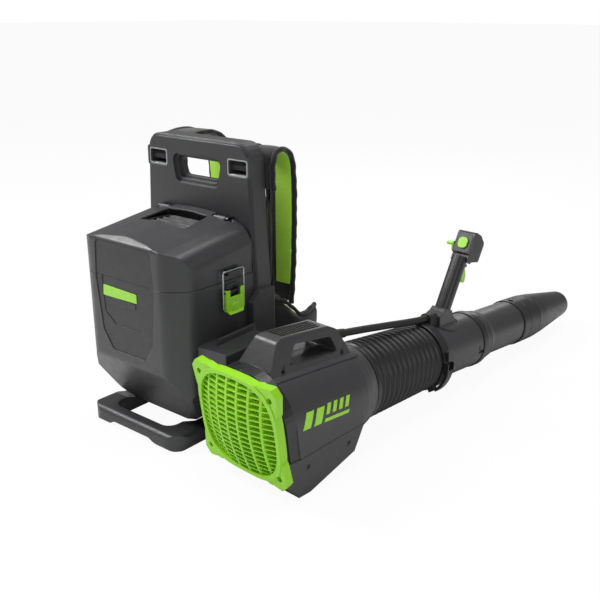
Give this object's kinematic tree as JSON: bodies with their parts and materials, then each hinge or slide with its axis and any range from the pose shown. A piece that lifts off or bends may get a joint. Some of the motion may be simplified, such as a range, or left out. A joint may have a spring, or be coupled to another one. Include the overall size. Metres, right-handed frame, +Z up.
{
  "type": "backpack leaf blower",
  "caption": "Battery backpack leaf blower with carrier plate, latched battery box, axial fan unit, ribbed hose, control handle, nozzle and padded harness.",
  "frame": {"origin": "on the floor, in the middle of the carrier plate's rear face", "axes": "+Z up; +Y forward, the way the tubes and nozzle point and the way the wearer faces; +X to the wearer's right, the side of the fan"},
  "size_m": [0.5762, 1.1186, 0.54],
  "materials": {
    "shell_charcoal": "fine moulded texture, satin",
    "tube_grey": "smooth satin",
    "shell_black": "fine moulded texture",
    "panel_dark": "matt",
    "lime_gloss": "smooth, semi-gloss",
    "lime_grille": "satin",
    "rubber_black": "matt rubber",
    "pad_fabric": "woven cover over foam, lime mesh beneath",
    "webbing_black": "flat woven webbing",
    "steel": "zinc plated",
    "slot_frame_silver": "silver paint",
    "motor_metal": "cast, blasted",
    "battery_case": "fine moulded texture",
    "circuit_board": "lacquered"
  },
  "bodies": {
    "pack": {"back_plate": "shell_charcoal", "base_frame": "shell_charcoal", "battery_box": "shell_charcoal", "rear_panel": "panel_dark", "lid_seal": "rubber_black", "battery_pack": "battery_case", "battery_rails": "battery_case", "controller_board": "circuit_board", "lid_hinge": "steel", "latch_bases": "shell_black", "fan_bracket": "shell_charcoal", "fan_housing": "shell_charcoal", "fan_base": "shell_charcoal", "fan_top_cap": "shell_charcoal", "fan_grip_pad": "rubber_black", "front_bezel": "shell_black", "intake_grille": "lime_grille", "grille_screws": "steel", "inlet_bell": "shell_black", "motor": "motor_metal", "motor_mount": "shell_black", "housing_screws": "steel", "hose_band": "shell_black", "strap_slot_frames": "slot_frame_silver", "strap_anchors": "webbing_black", "back_pad": "pad_fabric", "lumbar_pad": "pad_fabric", "shoulder_strap_right": "pad_fabric", "shoulder_strap_left": "pad_fabric", "strap_webbing": "webbing_black", "hip_belt_right": "pad_fabric", "hip_belt_left": "pad_fabric"},
    "lid": {"battery_lid": "shell_charcoal", "lid_vent": "shell_black", "lid_panel": "panel_dark", "lid_keepers": "shell_black"},
    "lever_right": {"latch_lever_right": "lime_gloss"},
    "lever_left": {"latch_lever_left": "lime_gloss"},
    "bail_right": {"latch_bail_right": "steel"},
    "bail_left": {"latch_bail_left": "steel"},
    "rotor": {"fan_rotor": "shell_black", "rotor_shaft": "steel"},
    "hose_run": {"hose": "rubber_black", "control_cable": "rubber_black"},
    "tube": {"hose_clamp": "shell_black", "handle_tube": "shell_charcoal", "lock_collar": "shell_black", "mid_tube": "tube_grey", "nozzle": "shell_black", "handle_base": "shell_charcoal", "grip_shell_left": "shell_black", "grip_shell_right": "shell_black", "control_panel": "shell_charcoal", "cable_boot": "rubber_black"},
    "trigger_blade": {"trigger": "lime_gloss"},
    "cruise": {"cruise_lever": "lime_gloss"},
    "turbo": {"turbo_button": "lime_gloss"},
    "nozzle_lock": {"nozzle_button": "shell_black"},
    "clamp_handle": {"clamp_lever": "shell_black"}
  },
  "joints": [
    {"name": "lid_turn", "type": "hinge", "parent": "pack", "child": "lid", "pos_m": [0, -0.013, 0.4], "axis": [-1, 0, 0], "range_deg": [0, 75]},
    {"name": "lever_right_turn", "type": "hinge", "parent": "pack", "child": "lever_right", "pos_m": [0.1495, -0.062, 0.287], "axis": [0, -1, 0], "range_deg": [0, 100]},
    {"name": "lever_left_turn", "type": "hinge", "parent": "pack", "child": "lever_left", "pos_m": [-0.1495, -0.062, 0.287], "axis": [0, 1, 0], "range_deg": [0, 100]},
    {"name": "bail_right_turn", "type": "hinge", "parent": "lever_right", "child": "bail_right", "pos_m": [0.1495, -0.062, 0.258], "axis": [0, 1, 0], "range_deg": [0, 250]},
    {"name": "bail_left_turn", "type": "hinge", "parent": "lever_left", "child": "bail_left", "pos_m": [-0.1495, -0.062, 0.258], "axis": [0, -1, 0], "range_deg": [0, 250]},
    {"name": "rotor_spin", "type": "hinge", "parent": "pack", "child": "rotor", "pos_m": [0.29908, -0.0846, 0.11519], "axis": [0.0757, 0.995, -0.0651], "continuous": true},
    {"name": "hose_lift", "type": "hinge", "parent": "pack", "child": "hose_run", "pos_m": [0.31573, 0.1343, 0.10088], "axis": [0.9971, -0.0758, 0], "range_deg": [-15, 30], "deforming": ["hose", "control_cable"]},
    {"name": "tube_swing", "type": "hinge", "parent": "hose_run", "child": "tube", "pos_m": [0.3233, 0.2338, 0.09438], "axis": [0.0049, 0.0649, 0.9979], "range_deg": [-25, 25]},
    {"name": "trigger_pull", "type": "hinge", "parent": "tube", "child": "trigger_blade", "pos_m": [0.33806, 0.42779, 0.25785], "axis": [-0.9971, 0.0758, 0], "range_deg": [0, 14], "stiffness_Nm_per_rad": 0.3, "springref_deg": -8.59},
    {"name": "cruise_turn", "type": "hinge", "parent": "tube", "child": "cruise", "pos_m": [0.31826, 0.43778, 0.28735], "axis": [0.9971, -0.0758, 0], "range_deg": [0, 45]},
    {"name": "turbo_press", "type": "slide", "parent": "tube", "child": "turbo", "axis": [0.0668, 0.8785, -0.473], "range_m": [0, 0.0025], "stiffness_N_per_m": 400, "springref_m": -0.002},
    {"name": "nozzle_lock_press", "type": "slide", "parent": "tube", "child": "nozzle_lock", "axis": [-0.0049, -0.0649, -0.9979], "range_m": [0, 0.003], "stiffness_N_per_m": 600, "springref_m": -0.002},
    {"name": "clamp_open", "type": "hinge", "parent": "tube", "child": "clamp_handle", "pos_m": [0.40439, 0.28798, 0.07964], "axis": [-0.0757, -0.995, 0.0651], "range_deg": [0, 80]}
  ],
  "couplings": [
    {"joint": "lever_right_turn", "follows": "lid_turn", "ratio": 1.3333},
    {"joint": "lever_left_turn", "follows": "lid_turn", "ratio": 1.3333},
    {"joint": "bail_right_turn", "follows": "lid_turn", "ratio": 3.3333},
    {"joint": "bail_left_turn", "follows": "lid_turn", "ratio": 3.3333}
  ]
}
